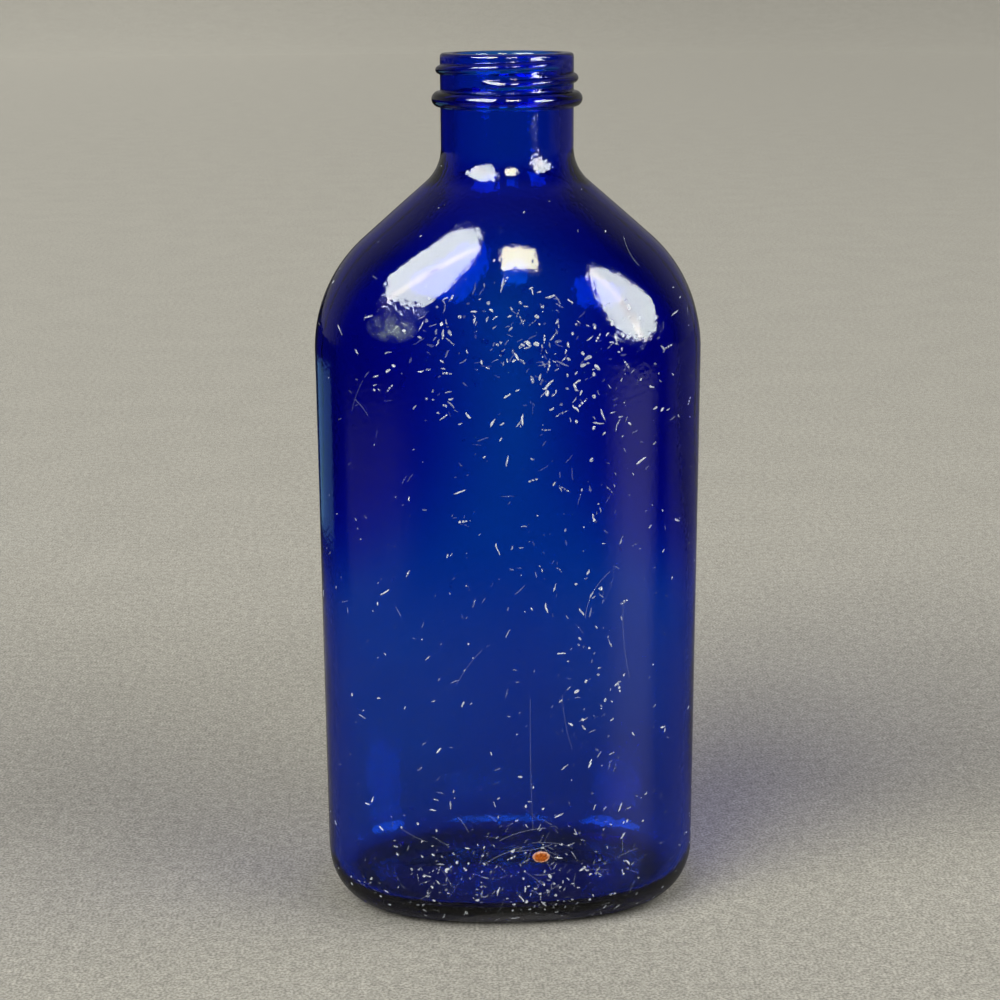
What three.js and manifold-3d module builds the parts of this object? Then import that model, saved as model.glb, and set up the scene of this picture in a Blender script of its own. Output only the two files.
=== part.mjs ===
// Flat oval apothecary bottle of cobalt blue glass, open at the neck, with a fleck of rust on its front.
// Millimetres, +Z up. The origin lies under the middle of the base, on the plane that the bottle stands on.
// The broad front faces -Y. The neck carries the moulded thread that a screw cap closes on.
import * as THREE from "three";
import Module from "manifold-3d";

// Body
const BODY_WIDTH = 103.7;
const BODY_DEPTH = 62;
const BODY_HEIGHT = 157.9; // standing plane to where the shoulder springs
const OVAL_EXPONENT = 2.45; // squareness of the oval plan, where 2 is an ellipse
const WALL = 3.5;

// Base
const HEEL_RISE = 15.5; // height of the rounded lower edge
const HEEL_INSET_SIDE = 13.8; // how far that edge draws in at the two ends of the oval
const HEEL_INSET_FRONT = 9.8; // and at the front and back
const BEARING_WIDTH = 5; // flat ring that meets the table
const PUSH_UP = 2.6; // height of the shallow dome under the base, inside that ring
const FLOOR_THICKNESS = 7.5; // standing plane to the inside floor
const INNER_HEEL = 8; // rounding between the inside floor and the walls

// Shoulder
const SHOULDER_RADIUS = 40;
const SHOULDER_SLOPE = 41.2; // degrees above the horizontal
const NECK_FILLET = 11.7; // hollow radius where the slope meets the neck
const FRONT_RADIUS = 38.8; // the shoulder's rounding over the broad front and back
const FRONT_FILLET = 10.3; // hollow radius into the neck there
const FRONT_FOOT_DROP = 2.3; // how far that hollow ends below the one at the sides
const SHOULDER_ROUNDING = 8; // power by which the squarish oval turns into an ellipse above the sides

// Neck and finish
const NECK_DIAMETER = 34.8;
const NECK_WALL = 3.5;
const NECK_LENGTH = 10.2; // straight neck from the fillet to the bead
const BEAD_HEIGHT = 4.1;
const BEAD_DEPTH = 2.3; // how far the bead stands out from the neck
const FINISH_HEIGHT = 9.6; // bead to the lip
const LIP_RADIUS = 0.9; // rounding on both edges of the lip

// Thread, a right-handed ridge with ends that fade out
const THREAD_DEPTH = 1.2;
const THREAD_WIDTH = 2.4;
const THREAD_PITCH = 4.233;
const THREAD_SWEEP = 445; // degrees from end to end
const THREAD_FADE = 32; // degrees over which each end rises to full depth
const THREAD_TOP_ANGLE = -33; // degrees from +X to the upper end
const THREAD_DROP = 2.5; // lip down to the middle of the upper end
const THREAD_ROOT = 0.4; // how deep the ridge is rooted in the neck

// Fleck of rust on the front
const FLECK_WIDTH = 4.7;
const FLECK_HEIGHT = 3.3;
const FLECK_THICKNESS = 0.5;
const FLECK_ACROSS = 7; // middle of the front to the fleck
const FLECK_ABOVE = 23.5; // standing plane to the fleck
const FLECK_RAGGED = 0.1; // share of its radius by which the edge wavers
const FLECK_CLEARANCE = 0.3; // fleck to the glass

// Fineness of the faceted surface
const OVAL_POINTS = 48;
const ARC_STEPS = 6;
const SLOPE_STEPS = 4;
const LIP_STEPS = 3;
const DOME_STEPS = 3;
const THREAD_STEPS = 40;
const FLECK_POINTS = 12;

const RIGHT_ANGLE = Math.PI / 2;
const slope = THREE.MathUtils.degToRad(SHOULDER_SLOPE);
const shoulderTurn = RIGHT_ANGLE - slope; // angle that the shoulder and the fillet each turn through

const outside = {
  halfWidth: BODY_WIDTH / 2,
  halfDepth: BODY_DEPTH / 2,
  floor: 0,
  heelRise: HEEL_RISE,
  insetSide: HEEL_INSET_SIDE,
  insetFront: HEEL_INSET_FRONT,
  shoulderRadius: SHOULDER_RADIUS,
  filletRadius: NECK_FILLET,
  frontRadius: FRONT_RADIUS,
  frontFillet: FRONT_FILLET,
  neckRadius: NECK_DIAMETER / 2,
};

const inside = {
  halfWidth: outside.halfWidth - WALL,
  halfDepth: outside.halfDepth - WALL,
  floor: FLOOR_THICKNESS,
  heelRise: INNER_HEEL,
  insetSide: INNER_HEEL,
  insetFront: INNER_HEEL,
  shoulderRadius: SHOULDER_RADIUS - WALL,
  filletRadius: NECK_FILLET + NECK_WALL,
  frontRadius: FRONT_RADIUS - WALL,
  frontFillet: FRONT_FILLET + NECK_WALL,
  neckRadius: outside.neckRadius - NECK_WALL,
};

const wasm = await Module();
wasm.setup();

// Evenly spaced values from one to another, both included.
function steps(from, to, count) {
  return Array.from({ length: count + 1 }, (_, i) => from + ((to - from) * i) / count);
}

function oval(halfWidth, halfDepth, exponent, height) {
  return { halfWidth, halfDepth, exponent, height };
}

function circle(radius, height) {
  return oval(radius, radius, 2, height);
}

// The oval of the heel or of the straight side at a height. The heel is a quarter ellipse.
function lowerOval(face, height) {
  const below = Math.max(face.floor + face.heelRise - height, 0) / face.heelRise;
  const drawnIn = 1 - Math.sqrt(1 - below ** 2);
  const halfWidth = face.halfWidth - face.insetSide * drawnIn;
  const halfDepth = face.halfDepth - face.insetFront * drawnIn;
  return oval(halfWidth, halfDepth, OVAL_EXPONENT, height);
}

// Half the depth at a height. Seen from the end, the shoulder is an arc that turns over into a hollow one.
function upperHalfDepth(face, height, neckFoot) {
  const reach = face.frontRadius + face.frontFillet;
  const turn = Math.acos(1 - (face.halfDepth - face.neckRadius) / reach);
  const foot = neckFoot - FRONT_FOOT_DROP;
  const spring = foot - reach * Math.sin(turn);
  if (height <= spring) return face.halfDepth;
  if (height >= foot) return face.neckRadius;
  if (height <= spring + face.frontRadius * Math.sin(turn)) {
    return face.halfDepth - face.frontRadius + Math.sqrt(face.frontRadius ** 2 - (height - spring) ** 2);
  }
  return face.neckRadius + face.frontFillet - Math.sqrt(face.frontFillet ** 2 - (foot - height) ** 2);
}

// The oval of the shoulder where it has a given half width.
function upperOval(face, halfWidth, height, neckFoot) {
  const share = (halfWidth - face.neckRadius) / (face.halfWidth - face.neckRadius);
  const exponent = 2 + (OVAL_EXPONENT - 2) * share ** SHOULDER_ROUNDING;
  return oval(halfWidth, upperHalfDepth(face, height, neckFoot), exponent, height);
}

// Ovals from a face's floor up to its neck: the heel, the side, the round shoulder, the slope, the fillet.
function bodyOvals(face) {
  const heel = steps(0, RIGHT_ANGLE, ARC_STEPS).map((angle) =>
    lowerOval(face, face.floor + face.heelRise * (1 - Math.cos(angle))),
  );
  const arcEnd = face.halfWidth - face.shoulderRadius * (1 - Math.cos(shoulderTurn));
  const arcTop = BODY_HEIGHT + face.shoulderRadius * Math.sin(shoulderTurn);
  const filletStart = face.neckRadius + face.filletRadius * (1 - Math.cos(shoulderTurn));
  const filletLow = arcTop + (arcEnd - filletStart) * Math.tan(slope);
  const neckFoot = filletLow + face.filletRadius * Math.sin(shoulderTurn);
  const shoulder = steps(0, shoulderTurn, ARC_STEPS).map((angle) => {
    const halfWidth = face.halfWidth - face.shoulderRadius * (1 - Math.cos(angle));
    return upperOval(face, halfWidth, BODY_HEIGHT + face.shoulderRadius * Math.sin(angle), neckFoot);
  });
  const straight = steps(0, 1, SLOPE_STEPS)
    .slice(1, -1)
    .map((share) => {
      const halfWidth = arcEnd + (filletStart - arcEnd) * share;
      return upperOval(face, halfWidth, arcTop + (filletLow - arcTop) * share, neckFoot);
    });
  const fillet = steps(shoulderTurn, 0, ARC_STEPS).map((angle) => {
    const halfWidth = face.neckRadius + face.filletRadius * (1 - Math.cos(angle));
    return upperOval(face, halfWidth, neckFoot - face.filletRadius * Math.sin(angle), neckFoot);
  });
  return [...heel, ...shoulder, ...straight, ...fillet];
}

// The shallow dome under the base, from near its middle out to the inner edge of the bearing ring.
function domeOvals() {
  const bearing = lowerOval(outside, outside.floor);
  const halfWidth = bearing.halfWidth - BEARING_WIDTH;
  const halfDepth = bearing.halfDepth - BEARING_WIDTH;
  return steps(0, 1, DOME_STEPS)
    .slice(1)
    .map((share) => oval(halfWidth * share, halfDepth * share, OVAL_EXPONENT, PUSH_UP * (1 - share ** 2)));
}

const outerBody = bodyOvals(outside);
const innerBody = bodyOvals(inside);
const beadMiddle = outerBody.at(-1).height + NECK_LENGTH + BEAD_HEIGHT / 2;
const lipHeight = beadMiddle + BEAD_HEIGHT / 2 + FINISH_HEIGHT;

// The half-round bead, then the lip with both of its edges rounded.
function finishOvals() {
  const bead = steps(-RIGHT_ANGLE, RIGHT_ANGLE, ARC_STEPS).map((angle) => {
    const radius = outside.neckRadius + BEAD_DEPTH * Math.cos(angle);
    return circle(radius, beadMiddle + (BEAD_HEIGHT / 2) * Math.sin(angle));
  });
  const lipCircle = (wallRadius, toMiddle, angle) => {
    const radius = wallRadius + toMiddle * LIP_RADIUS * (1 - Math.cos(angle));
    return circle(radius, lipHeight - LIP_RADIUS * (1 - Math.sin(angle)));
  };
  const outerEdge = steps(0, RIGHT_ANGLE, LIP_STEPS).map((angle) => lipCircle(outside.neckRadius, -1, angle));
  const innerEdge = steps(RIGHT_ANGLE, 0, LIP_STEPS).map((angle) => lipCircle(inside.neckRadius, 1, angle));
  return [...bead, ...outerEdge, ...innerEdge];
}

// Points round an oval, anticlockwise seen from above.
function ovalPoints({ halfWidth, halfDepth, exponent, height }) {
  const swell = (value) => Math.sign(value) * Math.abs(value) ** (2 / exponent);
  return steps(0, 2 * Math.PI, OVAL_POINTS)
    .slice(0, -1)
    .map((a) => new THREE.Vector3(halfWidth * swell(Math.cos(a)), halfDepth * swell(Math.sin(a)), height));
}

// A closed skin from a first point, through rings of equally many points, to a last point.
// Seen from the last point, each ring runs anticlockwise.
function closedSkin(firstPoint, rings, lastPoint) {
  const around = rings[0].length;
  const last = 1 + rings.length * around;
  const corner = (ring, i) => 1 + ring * around + (i % around);
  const triangles = [];
  for (let i = 0; i < around; i += 1) {
    triangles.push(0, corner(0, i + 1), corner(0, i));
    for (let ring = 0; ring + 1 < rings.length; ring += 1) {
      triangles.push(corner(ring, i), corner(ring, i + 1), corner(ring + 1, i + 1));
      triangles.push(corner(ring, i), corner(ring + 1, i + 1), corner(ring + 1, i));
    }
    triangles.push(corner(rings.length - 1, i), corner(rings.length - 1, i + 1), last);
  }
  const geometry = new THREE.BufferGeometry().setFromPoints([firstPoint, ...rings.flat(), lastPoint]);
  geometry.setIndex(triangles);
  return geometry;
}

// The hollow vessel: up the outside from under the base, over the lip, and down the inside to the floor.
function vesselGeometry() {
  const ovals = [...domeOvals(), ...outerBody, ...finishOvals(), ...innerBody.toReversed()];
  const underBase = new THREE.Vector3(0, 0, PUSH_UP);
  const insideFloor = new THREE.Vector3(0, 0, inside.floor);
  return closedSkin(underBase, ovals.map(ovalPoints), insideFloor);
}

// One section of the thread, at a share of the way from its lower end to its upper end.
function threadSection(share) {
  const sweep = THREE.MathUtils.degToRad(THREAD_SWEEP);
  const fade = THREAD_FADE / THREAD_SWEEP;
  const rise = Math.sin(RIGHT_ANGLE * Math.min(share / fade, (1 - share) / fade, 1));
  const angle = THREE.MathUtils.degToRad(THREAD_TOP_ANGLE) - sweep * (1 - share);
  const middle = lipHeight - THREAD_DROP - (THREAD_PITCH * THREAD_SWEEP * (1 - share)) / 360;
  const at = (out, up) => {
    const radius = outside.neckRadius - THREAD_ROOT + out;
    return new THREE.Vector3(radius * Math.cos(angle), radius * Math.sin(angle), middle + up);
  };
  const crown = steps(0, Math.PI, ARC_STEPS).map((turn) =>
    at((THREAD_ROOT + THREAD_DEPTH) * rise * Math.sin(turn), (THREAD_WIDTH / 2) * Math.cos(turn)),
  );
  return [...crown, at(-THREAD_ROOT, -THREAD_WIDTH / 2), at(-THREAD_ROOT, THREAD_WIDTH / 2)];
}

function middleOf(points) {
  return points.reduce((sum, point) => sum.add(point), new THREE.Vector3()).divideScalar(points.length);
}

function threadGeometry() {
  const sections = steps(0, 1, THREAD_STEPS).map(threadSection);
  return closedSkin(middleOf(sections[0]), sections, middleOf(sections.at(-1)));
}

function solidOf(geometry) {
  const vertProperties = geometry.getAttribute("position").array;
  const triVerts = Uint32Array.from(geometry.getIndex().array);
  return new wasm.Manifold(new wasm.Mesh({ numProp: 3, vertProperties, triVerts }));
}

function geometryOf(solid) {
  const { vertProperties, triVerts } = solid.getMesh();
  const geometry = new THREE.BufferGeometry();
  geometry.setAttribute("position", new THREE.BufferAttribute(vertProperties, 3));
  geometry.setIndex(new THREE.BufferAttribute(triVerts, 1));
  return geometry;
}

// Glass that was moulded in one piece with its bead and thread.
function glassBottle() {
  const geometry = geometryOf(solidOf(vesselGeometry()).add(solidOf(threadGeometry())));
  geometry.computeVertexNormals();
  const glass = new THREE.MeshStandardMaterial({ color: 0x0c3f8f, roughness: 0.06, metalness: 0 });
  glass.transparent = true;
  glass.opacity = 0.85;
  const mesh = new THREE.Mesh(geometry, glass);
  mesh.name = "glass_bottle";
  return mesh;
}

// A point over the front of the glass, a given distance out from it.
function overFront(across, height, out) {
  const { halfWidth, halfDepth, exponent } = lowerOval(outside, height);
  const wall = halfDepth * (1 - Math.abs(across / halfWidth) ** exponent) ** (1 / exponent);
  return new THREE.Vector3(across, -wall - out, height);
}

// A flake that lies along the front of the glass, thin at its ragged edge.
function rustFleck() {
  const ring = (reach, lift) =>
    steps(0, 2 * Math.PI, FLECK_POINTS)
      .slice(0, -1)
      .map((angle) => {
        const edge = reach * (1 + FLECK_RAGGED * Math.sin(3 * angle));
        const across = FLECK_ACROSS + (FLECK_WIDTH / 2) * edge * Math.cos(angle);
        const height = FLECK_ABOVE + (FLECK_HEIGHT / 2) * edge * Math.sin(angle);
        return overFront(across, height, FLECK_CLEARANCE + FLECK_THICKNESS * lift);
      });
  const back = overFront(FLECK_ACROSS, FLECK_ABOVE, FLECK_CLEARANCE);
  const crest = overFront(FLECK_ACROSS, FLECK_ABOVE, FLECK_CLEARANCE + FLECK_THICKNESS);
  const geometry = closedSkin(back, [ring(0.9, 0), ring(1, 0.4), ring(0.6, 0.9)], crest);
  geometry.computeVertexNormals();
  const rust = new THREE.MeshStandardMaterial({ color: 0xc0601c, roughness: 0.85, metalness: 0 });
  const mesh = new THREE.Mesh(geometry, rust);
  mesh.name = "rust_fleck";
  return mesh;
}

const apothecaryBottle = new THREE.Group();
apothecaryBottle.add(glassBottle(), rustFleck());

export default apothecaryBottle;
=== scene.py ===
# %% [markdown]
# # A cobalt blue apothecary bottle
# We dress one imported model: a flat oval bottle of blue glass, with an open screw neck and a flake
# of rust stuck on its front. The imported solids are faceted, so the glass is lofted again here
# with smooth rings, given the wear that years on a shelf leave, and set on grey paper between two
# soft umbrellas. Every object is in metres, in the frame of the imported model.

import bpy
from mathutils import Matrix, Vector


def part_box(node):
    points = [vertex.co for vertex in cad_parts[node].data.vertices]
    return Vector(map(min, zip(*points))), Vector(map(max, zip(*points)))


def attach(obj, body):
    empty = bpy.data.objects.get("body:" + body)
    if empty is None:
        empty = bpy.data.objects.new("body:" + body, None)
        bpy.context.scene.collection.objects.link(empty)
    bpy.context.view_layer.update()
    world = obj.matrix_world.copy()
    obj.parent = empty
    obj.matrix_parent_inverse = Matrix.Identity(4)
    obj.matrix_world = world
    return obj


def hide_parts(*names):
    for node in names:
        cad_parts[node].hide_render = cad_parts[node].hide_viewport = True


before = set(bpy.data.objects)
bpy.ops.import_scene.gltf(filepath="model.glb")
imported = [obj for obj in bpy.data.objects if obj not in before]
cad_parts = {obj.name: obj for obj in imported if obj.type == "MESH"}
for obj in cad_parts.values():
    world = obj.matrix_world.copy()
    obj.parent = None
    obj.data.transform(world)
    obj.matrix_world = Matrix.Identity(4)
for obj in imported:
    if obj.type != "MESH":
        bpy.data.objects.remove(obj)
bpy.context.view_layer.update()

import math
from collections import namedtuple

import bpy
from mathutils import Matrix, Vector

MM = 0.001
scene = bpy.context.scene
scene.view_settings.view_transform = "Standard"

# %% [markdown]
# ## The camera
# The photograph looks slightly down on the bottle from straight in front, through a moderate long
# lens. We could aim by eye, but a camera that was fitted to the outline lets every later
# difference be read as a difference in shape. The numbers are its place, its turn, its tilt, its
# roll and its focal length.

# %% Camera
CAMERA_PLACE = (-0.02278, -0.52081, 0.25276)
CAMERA_TURN = math.radians(-2.24)
CAMERA_TILT = math.radians(90 - 14.75)
CAMERA_ROLL = math.radians(-0.32)


def add_object(name, data):
    """A new object of the scene, at the origin."""
    thing = bpy.data.objects.new(name, data)
    scene.collection.objects.link(thing)
    return thing


camera_data = bpy.data.cameras.new("photo_camera")
camera_data.lens = 70.65
camera_data.sensor_width = 36.0
camera_data.clip_start = 0.01
camera = add_object("photo_camera", camera_data)
camera.matrix_world = (
    Matrix.Translation(CAMERA_PLACE)
    @ Matrix.Rotation(CAMERA_TURN, 4, "Z")
    @ Matrix.Rotation(CAMERA_TILT, 4, "X")
    @ Matrix.Rotation(CAMERA_ROLL, 4, "Z")
)
scene.camera = camera
print("camera stands", round(abs(CAMERA_PLACE[1]) / MM), "mm in front of the bottle's middle")

# %% [markdown]
# ## Writing nodes as sums
# Geometry and shader trees are both made of nodes and links. Adding them one by one hides the
# maths, so one small class stands for an output socket: `a * b + 1` adds the Math nodes and links
# them, and `node` adds anything else, with its settings first and its sockets after.

# %% A socket that can be added and multiplied
class Wire:
    """One output socket of a node tree; sums on wires add Math nodes to that tree."""

    def __init__(self, tree, socket=None):
        self.tree = tree
        self.socket = socket

    def node(self, kind, settings=None, inputs=None, output=0):
        """Add a node of any kind: settings first, then the values or links of its sockets."""
        node = self.tree.nodes.new(kind)
        for name, value in (settings or {}).items():
            if name == "stops":
                set_ramp_stops(node.color_ramp, value)
            else:
                setattr(node, name, value)
        for key, value in (inputs or {}).items():
            socket = find_socket(node.inputs, key)
            if isinstance(value, Wire):
                self.tree.links.new(value.socket, socket)
            else:
                socket.default_value = value
        return Wire(self.tree, find_socket(node.outputs, output)) if node.outputs else None

    def math(self, operation, *others):
        return self.node("ShaderNodeMath", {"operation": operation}, dict(enumerate((self, *others))))

    def vector(self, operation, other=None):
        """Vector Math: SCALE goes with a number, LENGTH with nothing, the rest with a vector."""
        inputs = {0: self}
        if other is not None:
            inputs["Scale" if operation == "SCALE" else 1] = other
        return self.node("ShaderNodeVectorMath", {"operation": operation}, inputs)

    def axis(self, name):
        return self.node("ShaderNodeSeparateXYZ", inputs={"Vector": self}, output=name)

    def noise(self, scale, detail):
        return self.node("ShaderNodeTexNoise", inputs={"Vector": self, "Scale": scale, "Detail": detail})

    def bump(self, distance):
        """A normal from this relief, of which one unit is a distance high."""
        return self.node("ShaderNodeBump", inputs={"Strength": 1.0, "Distance": distance, "Height": self})

    def mix_shaders(self, first, second):
        return self.node("ShaderNodeMixShader", inputs={0: self, 1: first, 2: second})

    def mix_colours(self, first, second):
        colours = {"Factor_Float": self, "A_Color": first, "B_Color": second}
        return self.node("ShaderNodeMix", {"data_type": "RGBA"}, colours, "Result_Color")

    def step(self, start, stop, low=0.0, high=1.0):
        """Go smoothly from low to high while this value goes from start to stop."""
        return self.node(
            "ShaderNodeMapRange",
            {"interpolation_type": "SMOOTHSTEP"},
            {"Value": self, "From Min": start, "From Max": stop, "To Min": low, "To Max": high},
        )

    def between(self, start, full, fading, stop):
        """One from full to fading, and smoothly down to zero at start and stop."""
        return self.step(start, full) * self.step(stop, fading)


OPERATORS = {"add": "ADD", "sub": "SUBTRACT", "mul": "MULTIPLY", "truediv": "DIVIDE", "pow": "POWER"}
for name, operation in OPERATORS.items():
    def forward(self, other, operation=operation):
        return self.math(operation, other)

    def reflected(self, other, operation=operation):
        return self.node("ShaderNodeMath", {"operation": operation}, {0: other, 1: self})

    setattr(Wire, f"__{name}__", forward)
    setattr(Wire, f"__r{name}__", reflected)


def find_socket(sockets, key):
    """A socket by its number or its name, among those that the node's settings leave in use."""
    used = [socket for socket in sockets if socket.enabled]
    if isinstance(key, int):
        return used[key]
    return next(socket for socket in used if key in (socket.name, socket.identifier))


def set_ramp_stops(ramp, stops):
    """Give a colour ramp its stops as pairs of place and colour."""
    while len(ramp.elements) < len(stops):
        ramp.elements.new(0.5)
    for element, (place, colour) in zip(ramp.elements, stops):
        element.position = place
        element.color = (*colour, 1.0)


print("operators on wires:", ", ".join(OPERATORS))

# %% Trees for shapes, and how a tree becomes a plain mesh
def new_shape_tree(name, sizes):
    """A geometry tree with one named number input for each size; gives a wire for each input."""
    tree = bpy.data.node_groups.new(name, "GeometryNodeTree")
    tree.interface.new_socket("Geometry", in_out="INPUT", socket_type="NodeSocketGeometry")
    tree.interface.new_socket("Geometry", in_out="OUTPUT", socket_type="NodeSocketGeometry")
    tree.interface.new_socket("Material", in_out="INPUT", socket_type="NodeSocketMaterial")
    for size in sizes:
        tree.interface.new_socket(size, in_out="INPUT", socket_type="NodeSocketFloat")
    entry = tree.nodes.new("NodeGroupInput")
    return {socket.name: Wire(tree, socket) for socket in entry.outputs if socket.name}


def end_shape_tree(shape, material):
    """Every shape tree ends alike: real geometry instead of instances, and its material."""
    real = shape.node("GeometryNodeRealizeInstances", inputs={"Geometry": shape})
    dressed = real.node("GeometryNodeSetMaterial", inputs={"Geometry": real, "Material": material})
    leave = shape.tree.nodes.new("NodeGroupOutput")
    shape.tree.links.new(dressed.socket, leave.inputs["Geometry"])
    return shape.tree


def keep(shape, name, value, domain="POINT"):
    """Store a value on each point or each instance of a shape."""
    return shape.node("GeometryNodeStoreNamedAttribute", {"data_type": "FLOAT", "domain": domain}, {
        "Geometry": shape, "Name": name, "Value": value,
    })


def kept(shape, name):
    """The value that a shape's points carry under a name."""
    return shape.node("GeometryNodeInputNamedAttribute", {"data_type": "FLOAT"}, {"Name": name})


def grow(name, tree, start_mesh, material, sizes):
    """Run a shape tree on a mesh and keep what it makes as a plain mesh object at the origin."""
    seed_object = add_object(name + "_start", start_mesh)
    modifier = seed_object.modifiers.new("shape", "NODES")
    modifier.node_group = tree
    values = {"Material": material, **sizes}
    for item in tree.interface.items_tree:
        if item.in_out == "INPUT" and item.name in values:
            modifier[item.identifier] = values[item.name]
    graph = bpy.context.evaluated_depsgraph_get()
    mesh = bpy.data.meshes.new_from_object(seed_object.evaluated_get(graph), depsgraph=graph)
    seed_object.modifiers.remove(modifier)
    bpy.data.objects.remove(seed_object)
    mesh.name = name
    piece = add_object(name, mesh)
    mesh.calc_loop_triangles()
    print(name + ":", len(mesh.loop_triangles), "triangles")
    return piece


# %% [markdown]
# ## The bottle's outline
# A blown bottle takes its shape from a mould: an oval that keeps its size up the sides, turns in
# over the shoulder and ends in a round neck. So one outline is enough. Each of its points is a
# ring, with a half width, a half depth and an exponent that says how square the oval is, and the
# rings run from the middle of the underside, up the outside, over the lip and down the inside to
# the floor.

# %% Sizes of the bottle
glass_low, glass_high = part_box("glass_bottle")
LIP_HEIGHT = glass_high.z
SEAM_HEIGHT = 0.22 * MM
HALF_WIDTH = (glass_high.x - glass_low.x) / 2 - SEAM_HEIGHT
HALF_DEPTH = (glass_high.y - glass_low.y) / 2
SPRING_HEIGHT = 157.9 * MM
OVAL_EXPONENT = 2.45
WALL = 3.5 * MM
HIGH_SIDE_WALL = 5.5 * MM
HIGH_FRONT_WALL = 2.7 * MM
HIGH_EXPONENT = 2.0
LOW_SIDE_WALL = 2.4 * MM
LOW_FRONT_WALL = 2.8 * MM
LOW_EXPONENT = 2.5
WALL_CHANGE = (86 * MM, 140 * MM)
HEEL_RISE = 15.5 * MM
HEEL_INSET_SIDE = 13.8 * MM
HEEL_INSET_FRONT = 9.8 * MM
BEARING_WIDTH = 5.0 * MM
PUSH_UP = 2.6 * MM
FLOOR_THICKNESS = 7.3 * MM
INNER_HEEL_RISE = 9.0 * MM
INNER_INSET_SIDE = 6.0 * MM
INNER_INSET_FRONT = 4.0 * MM
SHOULDER_RADIUS = 40.0 * MM
SHOULDER_SLOPE = math.radians(41.2)
NECK_FILLET = 11.7 * MM
INNER_NECK_FILLET = NECK_FILLET + 1.6 * WALL
FRONT_RADIUS = 38.8 * MM
FRONT_FILLET = 10.3 * MM
FRONT_FOOT_DROP = 2.3 * MM
SHOULDER_ROUNDING = 8
NECK_RADIUS = 17.4 * MM
FINISH_HEIGHT = 9.6 * MM
BEAD_HEIGHT = 4.1 * MM
BEAD_DEPTH = 2.3 * MM
LIP_RADIUS = 0.9 * MM

Ring = namedtuple("Ring", "half_width half_depth exponent height outside finish")


def spread(count, start=0.0, stop=1.0):
    """Evenly spread values with both ends."""
    return [start + (stop - start) * index / count for index in range(count + 1)]


def arc(across, up, radius, rows, start, stop):
    """Points of an arc about a middle, from one angle to another."""
    return [(across + radius * math.cos(turn), up + radius * math.sin(turn))
            for turn in spread(rows, start, stop)]


print("bottle is", round(2 * HALF_WIDTH / MM, 1), "by", round(2 * HALF_DEPTH / MM, 1), "mm")

# %% The outside from the foot to the neck, and the inside along it
Face = namedtuple(
    "Face",
    "half_width half_depth exponent floor heel_rise inset_side inset_front"
    " shoulder fillet front_arc front_fillet neck",
)

OUTSIDE = Face(
    HALF_WIDTH, HALF_DEPTH, OVAL_EXPONENT, 0.0, HEEL_RISE, HEEL_INSET_SIDE, HEEL_INSET_FRONT,
    SHOULDER_RADIUS, NECK_FILLET, FRONT_RADIUS, FRONT_FILLET, NECK_RADIUS,
)
INSIDE = Face(
    HALF_WIDTH - HIGH_SIDE_WALL, HALF_DEPTH - HIGH_FRONT_WALL, HIGH_EXPONENT, FLOOR_THICKNESS,
    INNER_HEEL_RISE, INNER_INSET_SIDE, INNER_INSET_FRONT,
    SHOULDER_RADIUS - HIGH_SIDE_WALL, INNER_NECK_FILLET,
    FRONT_RADIUS - HIGH_FRONT_WALL, FRONT_FILLET + WALL, NECK_RADIUS - WALL,
)
HEEL_ROWS, SIDE_ROWS, ARC_ROWS, SLOPE_ROWS, FILLET_ROWS = 22, 30, 26, 14, 18
QUARTER = math.pi / 2
SHOULDER_TURN = QUARTER - SHOULDER_SLOPE


def ease(value, start, stop):
    """Go smoothly from 0 to 1 while a value goes from start to stop."""
    share = min(max((value - start) / (stop - start), 0.0), 1.0)
    return share * share * (3 - 2 * share)


def inside_at(height):
    """The inside face at a height: even walls low down, and thick sides under the shoulder."""
    low_share = 1 - ease(height, *WALL_CHANGE)
    return INSIDE._replace(
        half_width=INSIDE.half_width + low_share * (HIGH_SIDE_WALL - LOW_SIDE_WALL),
        half_depth=INSIDE.half_depth + low_share * (HIGH_FRONT_WALL - LOW_FRONT_WALL),
        exponent=HIGH_EXPONENT + low_share * (LOW_EXPONENT - HIGH_EXPONENT),
    )


def lower_ring(face, height, outside):
    """The oval of the heel, a quarter ellipse, or of the straight side above it."""
    if not outside:
        face = inside_at(height)
    below = max(face.floor + face.heel_rise - height, 0.0) / face.heel_rise
    drawn_in = 1 - math.sqrt(max(1 - below ** 2, 0.0))
    half_width = face.half_width - face.inset_side * drawn_in
    half_depth = face.half_depth - face.inset_front * drawn_in
    return Ring(half_width, half_depth, face.exponent, height, outside, 0.0)


def upper_half_depth(face, height, neck_foot):
    """Half the depth at a height: an arc over the shoulder that turns into a hollow one at the neck."""
    reach = face.front_arc + face.front_fillet
    turn = math.acos(1 - (face.half_depth - face.neck) / reach)
    foot = neck_foot - FRONT_FOOT_DROP
    spring = foot - reach * math.sin(turn)
    if height <= spring:
        return face.half_depth
    if height >= foot:
        return face.neck
    if height <= spring + face.front_arc * math.sin(turn):
        return face.half_depth - face.front_arc + math.sqrt(face.front_arc ** 2 - (height - spring) ** 2)
    return face.neck + face.front_fillet - math.sqrt(face.front_fillet ** 2 - (foot - height) ** 2)


def upper_ring(face, half_width, height, neck_foot, outside):
    """The oval of the shoulder, which soon turns from squarish to an ellipse and ends round."""
    share = (half_width - face.neck) / (face.half_width - face.neck)
    exponent = 2 + (face.exponent - 2) * max(share, 0.0) ** SHOULDER_ROUNDING
    return Ring(half_width, upper_half_depth(face, height, neck_foot), exponent, height, outside, 0.0)


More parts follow.
